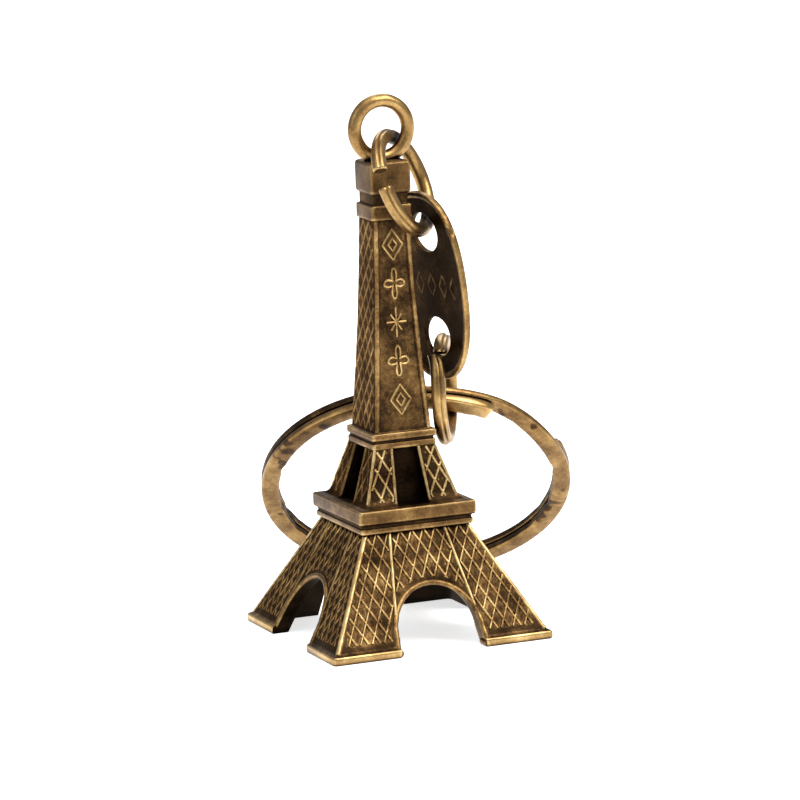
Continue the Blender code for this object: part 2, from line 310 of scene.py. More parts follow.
def soften(corners, steps=4):
    """Rounds the corners of a profile of (z, half width, round, slot).

    slot belongs to the stretch above its corner.
    """
    points = []
    for i, (z, half, turn, slot) in enumerate(corners):
        here = Vector((z, half))
        if turn == 0 or i in (0, len(corners) - 1):
            points.append((z, half, slot))
            continue
        before = Vector(corners[i - 1][:2]) - here
        after = Vector(corners[i + 1][:2]) - here
        reach_before = min(turn, before.length * 0.48)
        reach_after = min(turn, after.length * 0.48)
        start = here + before.normalized() * reach_before
        end = here + after.normalized() * reach_after
        for k in range(steps + 1):
            t = k / steps
            spot = start * (1 - t) ** 2 + here * 2 * t * (1 - t) + end * t * t
            points.append((spot.x, spot.y, slot if t > 0.5 else corners[i - 1][3]))
    return points


def rounded_square(half, radius, steps=4):
    """Outline of a square with round corners."""
    points = []
    for quarter in range(4):
        start = pi + quarter * pi / 2
        centre_x = (half - radius) * (-1 if quarter in (0, 3) else 1)
        centre_y = (half - radius) * (-1 if quarter in (0, 1) else 1)
        for i in range(steps + 1):
            turn = start + pi / 2 * i / steps
            points.append((centre_x + radius * cos(turn), centre_y + radius * sin(turn)))
    return points


def resample(path, spacing):
    """The same path with points about `spacing` apart."""
    points = [path[0]]
    for a, b in zip(path, path[1:]):
        count = max(1, round((b - a).length / spacing))
        points += [a.lerp(b, i / count) for i in range(1, count + 1)]
    return points


# Right halves of bead sections, crest first: (across, up), one unit wide and one unit high.
ROUND = ((0.00, 1.00), (0.24, 0.86), (0.40, 0.48), (0.50, 0.00))
CRESTED = ((0.00, 1.00), (0.20, 0.88), (0.34, 0.40), (0.50, 0.00))
FLAT_TOPPED = ((0.00, 1.00), (0.34, 0.96), (0.45, 0.66), (0.50, 0.00))
SINK = 0.10


def bead(bm, path, normal, size, shape=ROUND, spacing=0.3, closed=False, wobble=0.16):
    """A ridge along a path on a flat face. Its height wanders a little, as on a worn casting."""
    width, height = size
    half = (*shape, (0.50, -1.0))
    section = [(-across, up) for across, up in half[:0:-1]] + list(half)
    path = resample(path, spacing)
    if closed:
        path = path[:-1]
    loops = []
    for i, spot in enumerate(path):
        if closed:
            ahead = path[(i + 1) % len(path)] - path[i - 1]
        else:
            ahead = path[min(i + 1, len(path) - 1)] - path[max(i - 1, 0)]
        side = ahead.normalized().cross(normal).normalized()
        swell = 1 + wobble * noise.noise(spot * 1.9)
        nick = 1 - wobble * 1.6 * max(0.0, noise.noise(spot * 4.3 + Vector((7, 3, 1))) - 0.15)
        ring = []
        for across, up in section:
            rise = up * height * swell * nick if up > 0 else up * SINK
            ring.append(bm.verts.new(spot + side * (across * width * swell) + normal * rise))
        loops.append(ring)
    skin(bm, loops, closed)


# ---------------------------------------------------------------- the tower's faces


class Face:
    """One of the four sloping faces of a storey; u runs along it and z up it."""

    def __init__(self, quarter, low, high, half_low, half_high, waist=0.0):
        self.turn = Matrix.Rotation(quarter * pi / 2, 3, "Z")
        self.low, self.high = low, high
        self.half_low, self.half_high = half_low, half_high
        self.waist = waist
        slope = atan2(half_low - half_high, high - low)
        self.normal = self.turn @ Vector((0, -cos(slope), sin(slope)))

    def half(self, z):
        """Half width of the face at height z."""
        part = (z - self.low) / (self.high - self.low)
        return self.half_low + part * (self.half_high - self.half_low) - self.waist * sin(pi * part)

    def at(self, u, z, depth=0.0):
        """A point of the face, or one sunk under it by depth."""
        return self.turn @ Vector((u, -self.half(z), z)) - self.normal * depth


def base_face(quarter):
    """The splayed face of two legs and the arch between them."""
    return Face(quarter, LEG_LOW, LEG_TOP, LEG_HALF_LOW, LEG_HALF_HIGH)


def tier_face(quarter):
    """The face of the upper legs."""
    return Face(quarter, SLAB_TOP, TIER_TOP, TIER_HALF_LOW, TIER_HALF_HIGH)


def shaft_face(quarter):
    """The face of the shaft, drawn in a little at its waist."""
    return Face(quarter, COLLAR_TOP, SHAFT_TOP, SHAFT_HALF_LOW, SHAFT_HALF_HIGH, SHAFT_WAIST)


def spread(low, high, count=12):
    """Heights evenly spread from low to high."""
    return [low + (high - low) * i / count for i in range(count + 1)]


def lattice(bm, face, inside, pitch, lean, size, z_range, phase=0.0, keep=1.0, **style):
    """Crossed bars over the part of a face where inside(u, z) holds.

    Bars are pitch apart and lean by `lean` for each unit of height. phase shifts them, and a keep under 1
    leaves some stretches out.
    """
    low, high = z_range
    step = 0.06
    count = round((high - low) / step)
    reach = face.half_low + lean * (high - low)
    for direction in (1, -1):
        for k in range(-int(reach / pitch) - 1, int(reach / pitch) + 2):
            run = []
            for i in range(count + 2):
                z = low + step * i
                u = direction * (phase + k * pitch + lean * (z - low))
                shown = i <= count and inside(u, z)
                if shown and keep < 1:
                    shown = noise.noise(Vector((u * 0.8, z * 0.8, k * 3.1))) < keep - 0.5
                if shown:
                    run.append(face.at(u, z))
                elif run:
                    if (run[-1] - run[0]).length > 0.4:
                        bead(bm, run[:-1:8] + run[-1:], face.normal, size, **style)
                    run = []


def divider(z):
    """Distance of the dividers from the middle of a base face at height z."""
    part = (z - DIVIDER_END) / (LEG_TOP - DIVIDER_END)
    return DIVIDER_LOW + part * (DIVIDER_HIGH - DIVIDER_LOW)


def jamb(z):
    """Half width of the arch's opening at height z, or 0 above it."""
    if z < ARCH_SPRING:
        return ARCH_HALF + (ARCH_RADIUS - ARCH_HALF) * z / ARCH_SPRING
    rise = z - ARCH_SPRING
    return sqrt(max(0.0, ARCH_RADIUS**2 - rise**2))


def on_leg(clear, face):
    """Test for the places of a base face where the lattice is: off the rim, dividers and corners."""
    grown = ARCH_RADIUS + clear

    def inside(u, z):
        if abs(u) > face.half(z) - LEG_EDGE or not LEG_FLOOR < z < LEG_TOP - 0.06:
            return False
        if z < ARCH_SPRING and abs(u) < jamb(z) + clear:
            return False
        if z >= ARCH_SPRING and hypot(u, z - ARCH_SPRING) < grown:
            return False
        return z < DIVIDER_END or abs(abs(u) - divider(z)) > DIVIDER_CLEAR

    return inside


def on_tier(face):
    """Test for the places of a tier face between its recess and its corners."""

    def inside(u, z):
        part = (z - SLAB_TOP) / (TIER_TOP - SLAB_TOP)
        edge = RECESS_LOW_HALF + part * (RECESS_HIGH_HALF - RECESS_LOW_HALF)
        across = edge + RECESS_CLEAR < abs(u) < face.half(z) - TIER_EDGE
        return across and SLAB_TOP + 0.4 < z < TIER_TOP - 0.06

    return inside


def off_edge(face, clear):
    """Test for the places of a face that are more than `clear` from its corners."""

    def inside(u, z):
        return abs(u) < face.half(z) - clear

    return inside


def arch_rim(face):
    """The line along the middle of the raised rim, up one jamb, over the arch and down the other."""
    out = RIM_BEAD[0] / 2 - 0.05
    radius = ARCH_RADIUS + out
    steps = 40
    line = [(-(jamb(0.75) + out), 0.75), (-(jamb(1.6) + out), 1.6)]
    line += [
        (-radius * cos(pi * i / steps), ARCH_SPRING + radius * sin(pi * i / steps))
        for i in range(steps + 1)
    ]
    line += [(jamb(1.6) + out, 1.6), (jamb(0.75) + out, 0.75)]
    return [face.at(u, z) for u, z in line]


def corner_bead(bm, face, low, high, size):
    """A bead down the left corner of a face, standing out along the diagonal."""
    inset = 0.10
    path = [face.at(-(face.half(z) - inset), z, inset) for z in (low, high)]
    outward = face.turn @ Vector((-1, -1, 0)).normalized()
    ahead = (path[1] - path[0]).normalized()
    normal = (outward - ahead * outward.dot(ahead)).normalized()
    bead(bm, path, normal, size, spacing=0.22)


# ---------------------------------------------------------------- the tower


# Finishes of the cast body, by material slot. The near-black one is patina with painted shade.
GROUND, BAND, FOOT, PANEL, BLACK_PATINA_AND_SHADE, CAP, SHADE = range(7)


def tower_profile():
    """Corners of the tower's outline: (z, half width, rounding, finish of the stretch above)."""
    return [
        (0, FOOT_HALF - 0.12, 0, FOOT),
        (0.12, FOOT_HALF, 0.12, FOOT),
        (FOOT_THICK, FOOT_HALF - 0.02, 0.20, PANEL),
        (LEG_LOW + 0.12, LEG_HALF_LOW - 0.05, 0.22, GROUND),
        (LEG_TOP, LEG_HALF_HIGH, 0.05, PANEL),
        (LEG_TOP + 0.04, SLAB_LOW_HALF, 0.14, BAND),
        (SLAB_LOW_TOP - 0.04, SLAB_LOW_HALF, 0.14, GROUND),
        (SLAB_LOW_TOP, SLAB_GROOVE_HALF, 0.10, GROUND),
        (SLAB_GROOVE_TOP - 0.10, SLAB_GROOVE_HALF, 0.18, GROUND),
        (SLAB_GROOVE_TOP + 0.03, SLAB_HALF, 0.16, BAND),
        (SLAB_TOP, SLAB_HALF, 0.20, PANEL),
        (SLAB_TOP + 0.02, TIER_HALF_LOW + 0.42, 0.20, SHADE),
        (SLAB_TOP + 0.42, TIER_HALF_LOW - 0.13, 0.60, SHADE),
        (TIER_TOP, TIER_HALF_HIGH, 0.04, PANEL),
        (TIER_TOP + 0.02, COLLAR_LOW_HALF, 0.14, BAND),
        (COLLAR_LOW_TOP, COLLAR_LOW_HALF, 0.14, GROUND),
        (COLLAR_LOW_TOP + 0.06, COLLAR_GROOVE_HALF, 0.05, GROUND),
        (COLLAR_GROOVE_TOP - 0.06, COLLAR_GROOVE_HALF, 0.06, GROUND),
        (COLLAR_GROOVE_TOP, COLLAR_HALF, 0.12, BAND),
        (COLLAR_TOP, COLLAR_HALF, 0.14, BAND),
        (COLLAR_TOP + 0.02, SHAFT_HALF_LOW, 0.10, SHADE),
        *[(z, shaft_face(0).half(z), 0, SHADE) for z in spread(COLLAR_TOP, SHAFT_TOP)[1:-1]],
        (SHAFT_TOP, SHAFT_HALF_HIGH, 0.03, CAP),
        (SHAFT_TOP + 0.02, TOP_COLLAR_HALF, 0.10, CAP),
        (TOP_COLLAR_TOP, TOP_COLLAR_HALF, 0.16, GROUND),
        (TOP_COLLAR_TOP + 0.04, NECK_HALF, 0.10, GROUND),
        (NECK_TOP, NECK_HALF, 0.10, GROUND),
        (NECK_TOP + 0.04, CAP_HALF - 0.10, 0.05, CAP),
        (NECK_TOP + 0.22, CAP_HALF, 0.12, CAP),
        (CAP_TOP - 0.20, CAP_HALF, 0.22, CAP),
        (CAP_TOP, CAP_HALF - 0.26, 0.12, CAP),
        (CAP_TOP + 0.02, 0.60, 0, CAP),
    ]


def tower_shell():
    """The closed outer skin of the casting, before its hollows are cut."""
    bm = bmesh.new()
    levels = soften(tower_profile())
    loops = []
    for z, half, slot in levels:
        radius = 0.34 if z < LEG_LOW else 0.20
        loops.append([bm.verts.new((x, y, z)) for x, y in rounded_square(half, radius)])
    for (z, half, slot), low, high in zip(levels, loops, loops[1:]):
        for j in range(len(low)):
            k = (j + 1) % len(low)
            bm.faces.new((low[j], low[k], high[k], high[j])).material_index = slot
    bm.faces.new(loops[0])
    bm.faces.new(loops[-1])
    return bm


def prism(outlines, slot=0):
    """A closed solid through a row of outlines."""
    bm = bmesh.new()
    skin(bm, [[bm.verts.new(p) for p in outline] for outline in outlines], slot=slot)
    return bm


def cavity(finishes):
    """The hollow of the base, open below."""
    slope = (LEG_HALF_LOW - LEG_HALF_HIGH) / LEG_TOP
    loops = []
    for z in (-2, CAVITY_TOP):
        half = LEG_HALF_LOW - WALL - slope * z
        loops.append([(x, y, z) for x, y in rounded_square(half, 0.5, 3)])
    # The walls it leaves are near-black: patina with painted shade.
    return object_from("cavity", prism(loops, BLACK_PATINA_AND_SHADE), finishes)


def arch(quarter, finishes):
    """An arched prism through the base; the walls of the two side arches are black: patina and painted
    shade.
    """
    steps = 48
    outline = [(-ARCH_HALF - 0.1, -2), (ARCH_HALF + 0.1, -2), (ARCH_HALF, 0)]
    outline += [
        (ARCH_RADIUS * cos(pi * i / steps), ARCH_SPRING + ARCH_RADIUS * sin(pi * i / steps))
        for i in range(steps + 1)
    ]
    outline.append((-ARCH_HALF, 0))
    reach = FOOT_HALF + 2
    # Side arch walls get painted shade with patina; the front and back ones the brass of the bands.
    slot = BLACK_PATINA_AND_SHADE if quarter else BAND
    bm = prism([[(x, y, z) for x, z in outline] for y in (-reach, reach)], slot)
    bmesh.ops.rotate(bm, verts=bm.verts, matrix=Matrix.Rotation(quarter * pi / 2, 3, "Z"))
    return object_from(f"arch_{quarter}", bm, finishes)


def face_cutter(name, quarter, levels, slot, finishes):
    """A sunk panel in one face, from levels of (z, panel half width, face half width, depth)."""
    loops = []
    for z, half, face, depth in levels:
        plan = ((-half, -face - 2), (half, -face - 2), (half, depth - face), (-half, depth - face))
        loops.append([(x, y, z) for x, y in plan])
    bm = prism(loops, slot)
    bmesh.ops.rotate(bm, verts=bm.verts, matrix=Matrix.Rotation(quarter * pi / 2, 3, "Z"))
    return object_from(name, bm, finishes)


def tier_recess(quarter, finishes):
    """The gap between two upper legs."""
    levels = (
        (SLAB_TOP + 0.05, RECESS_LOW_HALF, TIER_HALF_LOW, RECESS_LOW_DEPTH),
        (TIER_TOP, RECESS_HIGH_HALF, TIER_HALF_HIGH, RECESS_HIGH_DEPTH),
    )
    # The recess walls are near-black: patina with painted shade.
    return face_cutter(f"recess_{quarter}", quarter, levels, BLACK_PATINA_AND_SHADE, finishes)


def shaft_panel(quarter, finishes):
    """The sunk ground of the ornaments."""
    face = shaft_face(quarter)
    heights = spread(PANEL_LOW, PANEL_HIGH)
    levels = [(z, face.half(z) - PANEL_BORDER, face.half(z), PANEL_DEPTH) for z in heights]
    return face_cutter(f"panel_{quarter}", quarter, levels, PANEL, finishes)


def make_tower_body(finishes):
    """The casting: its outer skin with the base's hollow, arches, recesses and front panel cut out."""
    body = object_from("tower_body", tower_shell(), finishes)
    cut(body, cavity(finishes), arch(0, finishes), arch(1, finishes))
    cut(body, *[tier_recess(quarter, finishes) for quarter in range(4)])
    cut(body, shaft_panel(0, finishes))
    bevel = body.modifiers.new("soft_edges", "BEVEL")
    bevel.width = 0.07 * MM
    bevel.segments = 2
    bevel.limit_method = "ANGLE"
    bevel.angle_limit = radians(50)
    bevel.use_clamp_overlap = True
    settle(body)
    body.data.shade_smooth()
    body.data.set_sharp_from_angle(angle=radians(SHARP_OVER))
    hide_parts("tower")
    return body


def make_frame_beads(finish, border_finish, shaded_side_finish, shaded_faint_finish):
    """Corner ridges, dividers, arch rims, foot edges and the shaft's borders."""
    bright, border, shaded_side, shaded_faint = bmesh.new(), bmesh.new(), bmesh.new(), bmesh.new()
    for quarter in range(4):
        base, tier, shaft = base_face(quarter), tier_face(quarter), shaft_face(quarter)
        on_side = quarter % 2
        corner_bead(bright, base, 1.0, LEG_TOP, CORNER_BEAD)
        corner_bead(bright, tier, SLAB_TOP + 0.3, TIER_TOP, TIER_BEAD)
        bead(border, arch_rim(base), base.normal, RIM_BEAD, spacing=0.25)
        # Side faces get darker copies of the front's finishes, painted shade: dull for the dividers, faint
        # for the tier lines.
        plain = shaded_side if on_side else bright
        for side in (-1, 1):
            foot = base.at(side * DIVIDER_LOW, DIVIDER_END)
            bead(plain, [foot, base.at(side * DIVIDER_HIGH, LEG_TOP)], base.normal, DIVIDER_BEAD)
            line = [
                tier.at(side * (RECESS_LOW_HALF + RECESS_RIM), SLAB_TOP + 0.05),
                tier.at(side * (RECESS_HIGH_HALF + RECESS_RIM), TIER_TOP),
            ]
            bead(shaded_faint if on_side else bright, line, tier.normal, TIER_BEAD)
            if not on_side:
                foot_line(border, base, side)
                line = [
                    shaft.at(side * (shaft.half(z) - PANEL_BORDER / 2), z)
                    for z in spread(COLLAR_TOP, SHAFT_TOP)
                ]
                bead(border, line, shaft.normal, BORDER_BEAD, FLAT_TOPPED)
    return (
        object_from("corner_beads", bright, [finish]),
        object_from("rim_beads", border, [border_finish]),
        object_from("side_beads", shaded_side, [shaded_side_finish]),
        object_from("tier_side_beads", shaded_faint, [shaded_faint_finish]),
    )


def foot_line(bm, face, side):
    """The foot's bead carried round into the arch's jamb."""
    normal = face.turn @ Vector((-side, 0, 0))
    middle = FOOT_THICK / 2 + 0.02
    path = [
        face.turn @ Vector((side * (jamb(middle) + 0.02), -y, middle))
        for y in (FOOT_HALF - 0.12, FOOT_HALF - WALL)
    ]
    bead(bm, path, normal, (FOOT_THICK - 0.08, 0.28), spacing=0.3, wobble=0.05)


def make_lattice(finish, bright_finish, soft_finish, shaded_side_finish, shaded_faint_finish):
    """The lattice of the base and tier, fine work between its bars, and the fainter one of the shaft."""
    sharp, bright, soft, shaded_side, shaded_faint = [bmesh.new() for _ in range(5)]
    for quarter in range(4):
        base, tier, shaft = base_face(quarter), tier_face(quarter), shaft_face(quarter)
        on_side = quarter % 2
        # The side faces, and the shaft's lattice, get the darker dull and faint finishes: painted shade.
        mesh, size = (shaded_side, SIDE_BEAD) if on_side else (sharp, LATTICE_BEAD)
        pitch = LATTICE_PITCH * (SIDE_PITCH if on_side else 1.0)
        test = on_leg(RIM_BEAD[0] + 0.16, base)
        reach = (LATTICE_LOW, LEG_TOP - 0.05)
        lattice(mesh, base, test, pitch, LATTICE_LEAN, size, reach, phase=0.12, shape=CRESTED)
        if not on_side:
            lattice(soft, base, test, pitch, LATTICE_LEAN, SHADOW_BEAD, reach, phase=0.50, keep=0.62)
            specks(soft, base, test, 300)
            specks(soft, tier, on_tier(tier), 90)
        reach = (SLAB_TOP + 0.2, TIER_TOP - 0.05)
        mesh, test = shaded_faint if on_side else bright, on_tier(tier)
        lattice(mesh, tier, test, TIER_PITCH, TIER_LEAN, size, reach, phase=0.30, shape=CRESTED)
        if quarter:
            reach = (COLLAR_TOP + 0.2, SHAFT_TOP - 0.1)
            test = off_edge(shaft, 0.30 if on_side else 0.60)
            lattice(shaded_faint, shaft, test, SHAFT_PITCH, SHAFT_LEAN, SOFT_BEAD, reach, phase=0.65)
    return (
        object_from("lattice", sharp, [finish]),
        object_from("tier_lattice", bright, [bright_finish]),
        object_from("fine_lattice", soft, [soft_finish]),
        object_from("side_lattice", shaded_side, [shaded_side_finish]),
        object_from("shaft_lattice", shaded_faint, [shaded_faint_finish]),
    )


def specks(bm, face, inside, count):
    """Small rough grains of metal between the bars of the lattice."""
    draw = Random(11)
    placed = 0
    while placed < count:
        z = draw.uniform(face.low, face.high)
        u = draw.uniform(-face.half(z), face.half(z))
        size = draw.uniform(0.05, 0.14)
        if inside(u, z):
            turn = Matrix.Rotation(draw.uniform(0, pi), 4, "Z")
            place = Matrix.Translation(face.at(u, z, size * 0.3)) @ turn
            bmesh.ops.create_icosphere(bm, subdivisions=1, radius=size, matrix=place)
            placed += 1


# ---------------------------------------------------------------- the ornaments on the front panel

# Each is drawn with lines of (across, up), one unit wide and one unit tall.


def lozenge(scale):
    """A diamond."""
    return [(0, -0.5 * scale), (0.5 * scale, 0), (0, 0.5 * scale), (-0.5 * scale, 0), (0, -0.5 * scale)]


def petals():
    """A four-petalled flower drawn with one line."""
    steps = 72
    points = []
    for i in range(steps + 1):
        turn = 2 * pi * i / steps
        reach = 0.30 + 0.20 * cos(4 * turn)
        points.append((reach * sin(turn), reach * cos(turn)))
    return points


def spark():
    """Four crossed strokes."""
    return [[(-x, -y), (x, y)] for x, y in ((0, 0.5), (0.5, 0), (0.27, 0.27), (0.27, -0.27))]


def make_ornaments(finish):
    """The raised ornaments down the front of the shaft."""
    face = shaft_face(0)
    wide, tall, pitch, first = 2.10, 2.90, 3.72, 38.0
    designs = (
        [lozenge(1.0), lozenge(0.42)],
        [petals()],
        spark(),
        [petals()],
        [lozenge(1.0), lozenge(0.42)],
    )
    bm = bmesh.new()
    for i, lines in enumerate(designs):
        centre = first - pitch * i
        for line in lines:
            path = [face.at(x * wide, centre + y * tall, PANEL_DEPTH) for x, y in line]
            closed = line[0] == line[-1]
            bead(bm, path, face.normal, ORNAMENT_BEAD, spacing=0.2, closed=closed)
    return object_from("panel_ornaments", bm, [finish])


# ---------------------------------------------------------------- rings, eye and tag


def wire_loop(radius, wire, gap_at=0, gap=0, sides=40, steps=96, crease=0.0, splay=0.0, slant=0.0):
    """A round wire bent round Z with nipped ends, open over `gap` degrees about `gap_at`.

    crease is the depth of a die line along the wire, splay is how far its ends stand apart sideways, and
    slant is how far from square its ends are cut.
    """
    start, sweep = radians(gap_at + gap / 2), radians(360 - gap)
    stations = [(i / steps, 1.0) for i in range(steps + (gap > 0))]
    if gap:
        lip = NIP_LONG / (radius * sweep)
        nip = [(0, NIP_TIP), (lip * NIP_BEND, NIP_NEAR), (lip, 1.0)]
        stations = nip + stations[1:-1] + [(1 - part, size) for part, size in nip[::-1]]
    bm = bmesh.new()
    loops = []
    for part, size in stations:
        angle = start + sweep * part
        out = Vector((cos(angle), sin(angle), 0))
        from_end = min(part, 1 - part) * sweep * radius
        lean = slant * max(0.0, 1 - from_end / SLANT_REACH) if gap else 0.0
        bend = 0.16 * max(0.0, 2 * part - 1) ** SPLAY_POWER - max(0.0, 1 - 2 * part) ** SPLAY_POWER
        bend *= splay
        ring = []
        for j in range(sides):
            turn = radians(WIRE_CREASE_AT) + 2 * pi * j / sides
            uneven = 1 + noise.noise(out * 3 + Vector((cos(turn), sin(turn), 5)))
            girth = wire * size * (1 - WIRE_WANDER * uneven)
            off = turn - radians(WIRE_CREASE_AT)
            girth -= crease * max(0.0, 1 - (atan2(sin(off), cos(off)) / radians(WIRE_CREASE_WIDE)) ** 2)
            level = girth * sin(turn) + bend
            place = angle + lean * girth * cos(turn) / radius
            reach = radius + girth * cos(turn)
            ring.append(bm.verts.new((reach * cos(place), reach * sin(place), level)))
        loops.append(ring)
    skin(bm, loops, closed=gap == 0)
    return bm


def make_eye(finish):
    """The closed loop on the cap."""
    turn = Matrix.Translation(EYE_CENTRE) @ Matrix.Rotation(pi / 2, 4, "X")
    return object_from("eye", wire_loop(EYE_RADIUS, EYE_WIRE), [finish], turn)


def make_jump_ring(name, node, centre, heading, gap_at, gap, finish, splay=0.0, slant=0.0):
    """An open ring of round wire in place of a node."""
    bm = wire_loop(JUMP_RADIUS, JUMP_WIRE, gap_at, gap, crease=WIRE_CREASE, splay=splay, slant=slant)
    ring = object_from(name, bm, [finish], Matrix.Translation(centre) @ facing(*heading))
    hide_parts(node)
    return ring


def tag_point(turn, scale=1.0, inset=0.0):
    """A point of the tag's outline, made smaller by a factor or moved in by a distance."""
    along, across = sin(turn), cos(turn)
    grow = 2 / TAG_POWER
    x = TAG_HALF_WIDE * scale * abs(across) ** grow * (1 if across >= 0 else -1)
    y = TAG_HALF_HIGH * scale * abs(along) ** grow * (1 if along >= 0 else -1)
    steep = TAG_POWER - 1
    out = Vector((abs(x) ** steep / TAG_HALF_WIDE**TAG_POWER, abs(y) ** steep / TAG_HALF_HIGH**TAG_POWER))
    out.normalize()
    return x - inset * out.x * (1 if x >= 0 else -1), y - inset * out.y * (1 if y >= 0 else -1)


def dish(x, y):
    """How far the plate rises out of its middle at a place."""
    reach = (abs(x) / TAG_HALF_WIDE) ** TAG_POWER + (abs(y) / TAG_HALF_HIGH) ** TAG_POWER
    return TAG_DISH * reach ** (TAG_DISH_POWER / TAG_POWER)


# Section of the tag's lip, from its foot over its crest to the back: (inset, rise over the hollow).
TAG_LIP = (
    (0.66, 0.00), (0.56, 0.03), (0.46, 0.12), (0.34, 0.17), (0.16, 0.16), (0.05, 0.08), (0.00, -0.06),
    (0.00, -0.42), (0.10, -TAG_THICK), (0.66, -TAG_THICK),
)


def tag_hole(end, place):
    """The cutter for the lower (-1) or upper (1) hole."""
    steps = 64
    outline = []
    for i in range(steps):
        turn = 2 * pi * i / steps
        outline.append((TAG_HOLE_RADIUS * cos(turn), TAG_HOLE_RADIUS * sin(turn) + end * TAG_HOLE_OFFSET))
    bm = prism([[(x, y, z) for x, y in outline] for z in (-3, 3)])
    return object_from(f"hole{end}", bm, (), place)


def make_tag(finish, lip_finish):
    """The dished plate with a raised lip: X across it, Y up it and Z out of its hollow side."""
    around = 240
    turns = [2 * pi * (i + 0.5) / around for i in range(around)]
    scales = [0.12 * i for i in range(1, 8)]
    bm = bmesh.new()

    def ring(rise, inset=0.0, scale=1.0):
        loop = []
        for turn in turns:
            ding = max(0.0, 1 - ((turn - radians(TAG_DING_AT)) / radians(TAG_DING_WIDE)) ** 2)
            dent = ding * TAG_DING_DEEP if -TAG_THICK / 2 < rise and scale == 1.0 else 0.0
            x, y = tag_point(turn, scale, inset + dent)
            loop.append(bm.verts.new((x, y, dish(x, y) + rise - max(0.0, min(dent, rise)))))
        return loop

    loops = [ring(0, scale=scale) for scale in scales]
    loops += [ring(rise, inset) for inset, rise in TAG_LIP]
    loops += [ring(-TAG_THICK, scale=scale) for scale in scales[::-1]]
    skin(bm, loops)
    first = len(scales) * around
    for face in list(bm.faces)[first : first + (len(TAG_LIP) - 2) * around]:
        face.material_index = 1
    place = Matrix.Translation(TAG_CENTRE) @ facing(*TAG_FACING)
    tag = object_from("tag", bm, [finish, lip_finish], place)
    cut(tag, *[tag_hole(end, place) for end in (-1, 1)])
    tag.data.shade_smooth()
    tag.data.set_sharp_from_angle(angle=radians(TAG_SHARP_OVER))
    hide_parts("tag_plate")
    return tag


def make_tag_marks(finish):
    """A stamped row of small lozenges across the middle of the hollow side."""
    wide, tall, pitch = 1.15, 2.2, 1.75
    bm = bmesh.new()
    for i in range(-2, 3):
        shift = Vector((i * pitch, 0, dish(i * pitch, 0)))
        path = [Vector((x * wide, y * tall, 0)) + shift for x, y in lozenge(1.0)]
        bead(bm, path, Vector((0, 0, 1)), MARK_BEAD, spacing=0.3, closed=True)
    place = Matrix.Translation(TAG_CENTRE) @ facing(*TAG_FACING)
    return object_from("tag_marks", bm, [finish], place)


def coil_level(turned):
    """Axial place of the key ring's wire after `turned` degrees: one coil, an S-shaped step, the other."""
    apart = KEY_COIL_THICK + KEY_COIL_GAP
    part = min(max((turned - (360 - KEY_STEP)) / KEY_STEP, 0), 1)
    return apart * part * part * (3 - 2 * part)


def key_section():
    """The key ring's wire cut across: (outward, up), a flat bar with round corners."""
    half_radial, half_axial = (KEY_OUTER - KEY_INNER) / 2, KEY_COIL_THICK / 2
    section = []
    for x, y, start in ((1, 1, 0), (-1, 1, 90), (-1, -1, 180), (1, -1, 270)):
        for step in range(4):
            turn = radians(start + 30 * step)
            across = x * (half_radial - KEY_CORNER) + KEY_CORNER * cos(turn)
            section.append((across, y * (half_axial - KEY_CORNER) + KEY_CORNER * sin(turn)))
    return section


def make_key_ring(finish, shade_finish, highlight_finish):
    """The wire wound nearly twice round, dented inside, with one flared end."""
    section = key_section()
    middle = (KEY_OUTER + KEY_INNER) / 2
    total = 2 * 360 - KEY_STEP
    steps = round(total / 2)
    bm = bmesh.new()
    loops = []
    for i in range(steps + 1):
        turned = total * i / steps
        angle = radians(KEY_END_AT + turned)
        level = -KEY_COIL_THICK / 2 - coil_level(turned)
        thin = 1 - 0.22 * (i in (0, steps)) - 0.06 * (i in (1, steps - 1))
        dent = KEY_DENT * max(0.0, noise.noise(Vector((turned / KEY_DENT_LONG, 0, 0))) - KEY_DENT_FROM)
        flare = KEY_END_FLARE * max(0.0, 1 - turned / KEY_FLARE_OVER)
        loop = []
        for x, y in section:
            across = x * thin + (dent - flare if x < 0 else 0)
            up = y * thin + (flare if y > 0 else 0)
            radius = middle + across
            loop.append(bm.verts.new((radius * cos(angle), radius * sin(angle), level + up)))
        loops.append(loop)
    skin(bm, loops)
    for i, face in enumerate(list(bm.faces)[:-2]):
        turned = total * (i // len(section)) / steps
        side = i % len(section)
        # The flared end gets a painted highlight.
        if turned < KEY_FLARE_OVER:
            face.material_index = 2
        # Inner sides, and outer ones over KEY_SHADED, get painted shade.
        elif side in KEY_INNER_SIDE or (side in KEY_OUTER_SIDE and KEY_SHADED[0] < turned < KEY_SHADED[1]):
            face.material_index = 1
    place = Matrix.Translation(KEY_CENTRE) @ facing(*KEY_FACING)
    ring = object_from("split_ring", bm, [finish, shade_finish, highlight_finish], place)
    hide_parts("key_ring")
    return ring


# ---------------------------------------------------------------- studio


def make_camera():
    """A long lens from the front left, a little above, rolled slightly."""
    azimuth, elevation, roll = radians(-22.656), radians(10.529), radians(-1.959)
    distance, aim_right, aim_up = 493.48, 0.1645, 22.2276
    back = Vector((sin(azimuth) * cos(elevation), -cos(azimuth) * cos(elevation), sin(elevation)))
    right = Vector((cos(azimuth), sin(azimuth), 0))
    up = back.cross(right)
    right, up = right * cos(roll) + up * sin(roll), up * cos(roll) - right * sin(roll)
    camera = bpy.data.objects.new("camera", bpy.data.cameras.new("camera"))
    bpy.context.collection.objects.link(camera)
    turn = Matrix((right, up, back)).transposed().to_4x4()
    spot = (back * distance + right * aim_right + up * aim_up) * MM + TOWER_AT
    camera.matrix_world = Matrix.Translation(spot) @ turn
    camera.data.sensor_width = 36
    camera.data.lens = 228.95
    camera.data.clip_start, camera.data.clip_end = 0.01, 20
    bpy.context.scene.camera = camera


